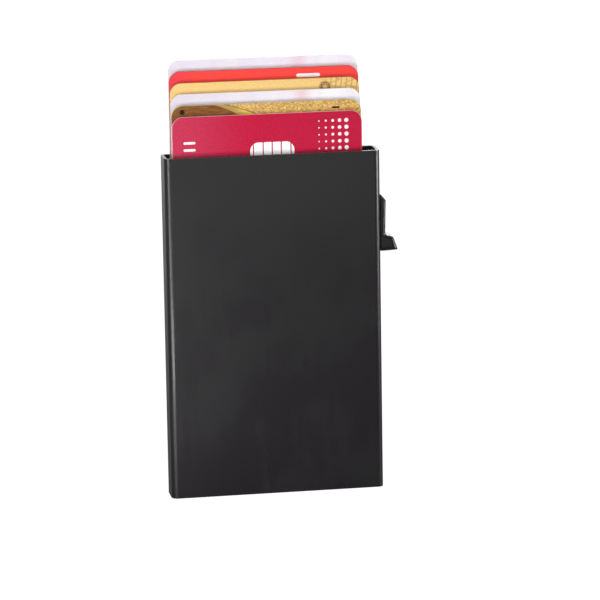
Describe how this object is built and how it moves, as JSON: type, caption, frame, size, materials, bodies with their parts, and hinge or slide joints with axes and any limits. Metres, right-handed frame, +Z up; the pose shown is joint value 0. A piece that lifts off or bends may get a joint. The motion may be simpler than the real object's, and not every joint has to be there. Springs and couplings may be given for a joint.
{
  "type": "pop up card holder",
  "caption": "Slim aluminium card sleeve standing on its closed end, with a thumb slider on its side wall that fans bank cards up out of the mouth.",
  "frame": {"origin": "centre of the flat bottom face that the closed end stands on", "axes": "+Z up towards the mouth, -Y towards the front face, +X towards the side with the slider"},
  "size_m": [0.0666, 0.0094, 0.1247],
  "materials": {
    "sleeve": "fine blasted, black anodised",
    "cap": "moulded, fine matt",
    "guide": "moulded, smooth",
    "felt": "pressed felt",
    "slider": "moulded, semi gloss",
    "screw": "zinc plated",
    "lifter": "stamped, lightly brushed",
    "card_crimson": "printed, satin laminate",
    "card_gold": "printed, satin laminate",
    "card_pearl": "printed, satin laminate",
    "card_amber": "printed, satin laminate",
    "card_red": "printed, satin laminate",
    "card_lilac": "printed, satin laminate"
  },
  "bodies": {
    "case": {"outer_sleeve": "sleeve", "bottom_cap": "cap", "left_guide_rail": "guide", "lower_slide_guide": "guide", "upper_slide_stop": "guide", "front_felt_strip": "felt", "back_felt_strip": "felt"},
    "slider": {"slider_carriage": "slider", "thumb_tab": "slider", "lower_tab_screw": "screw", "upper_tab_screw": "screw"},
    "lifter_1_body": {"lifter_1": "lifter"},
    "lifter_2_body": {"lifter_2": "lifter"},
    "lifter_3_body": {"lifter_3": "lifter"},
    "lifter_4_body": {"lifter_4": "lifter"},
    "lifter_5_body": {"lifter_5": "lifter"},
    "lifter_6_body": {"lifter_6": "lifter"},
    "card_1_body": {"card_1": "card_crimson"},
    "card_2_body": {"card_2": "card_gold"},
    "card_3_body": {"card_3": "card_pearl"},
    "card_4_body": {"card_4": "card_amber"},
    "card_5_body": {"card_5": "card_red"},
    "card_6_body": {"card_6": "card_lilac"}
  },
  "joints": [
    {"name": "slider_slide", "type": "slide", "parent": "case", "child": "slider", "axis": [0, 0, 1], "range_m": [-0.02815, 0]},
    {"name": "lifter_1_lift", "type": "slide", "parent": "case", "child": "lifter_1_body", "axis": [0, 0, 1], "range_m": [-0.01291, 0]},
    {"name": "lifter_2_lift", "type": "slide", "parent": "case", "child": "lifter_2_body", "axis": [0, 0, 1], "range_m": [-0.01596, 0]},
    {"name": "lifter_3_lift", "type": "slide", "parent": "case", "child": "lifter_3_body", "axis": [0, 0, 1], "range_m": [-0.01901, 0]},
    {"name": "lifter_4_lift", "type": "slide", "parent": "case", "child": "lifter_4_body", "axis": [0, 0, 1], "range_m": [-0.02206, 0]},
    {"name": "lifter_5_lift", "type": "slide", "parent": "case", "child": "lifter_5_body", "axis": [0, 0, 1], "range_m": [-0.02511, 0]},
    {"name": "lifter_6_lift", "type": "slide", "parent": "case", "child": "lifter_6_body", "axis": [0, 0, 1], "range_m": [-0.02816, 0]},
    {"name": "card_1_pull", "type": "slide", "parent": "lifter_1_body", "child": "card_1_body", "axis": [0, 0, 1], "range_m": [0, 0.075]},
    {"name": "card_2_pull", "type": "slide", "parent": "lifter_2_body", "child": "card_2_body", "axis": [0, 0, 1], "range_m": [0, 0.075]},
    {"name": "card_3_pull", "type": "slide", "parent": "lifter_3_body", "child": "card_3_body", "axis": [0, 0, 1], "range_m": [0, 0.075]},
    {"name": "card_4_pull", "type": "slide", "parent": "lifter_4_body", "child": "card_4_body", "axis": [0, 0, 1], "range_m": [0, 0.075]},
    {"name": "card_5_pull", "type": "slide", "parent": "lifter_5_body", "child": "card_5_body", "axis": [0, 0, 1], "range_m": [0, 0.075]},
    {"name": "card_6_pull", "type": "slide", "parent": "lifter_6_body", "child": "card_6_body", "axis": [0, 0, 1], "range_m": [0, 0.075]}
  ],
  "couplings": [
    {"joint": "lifter_1_lift", "follows": "slider_slide", "ratio": 0.45826},
    {"joint": "lifter_2_lift", "follows": "slider_slide", "ratio": 0.56661},
    {"joint": "lifter_3_lift", "follows": "slider_slide", "ratio": 0.67496},
    {"joint": "lifter_4_lift", "follows": "slider_slide", "ratio": 0.7833},
    {"joint": "lifter_5_lift", "follows": "slider_slide", "ratio": 0.89165},
    {"joint": "lifter_6_lift", "follows": "slider_slide", "ratio": 1}
  ]
}
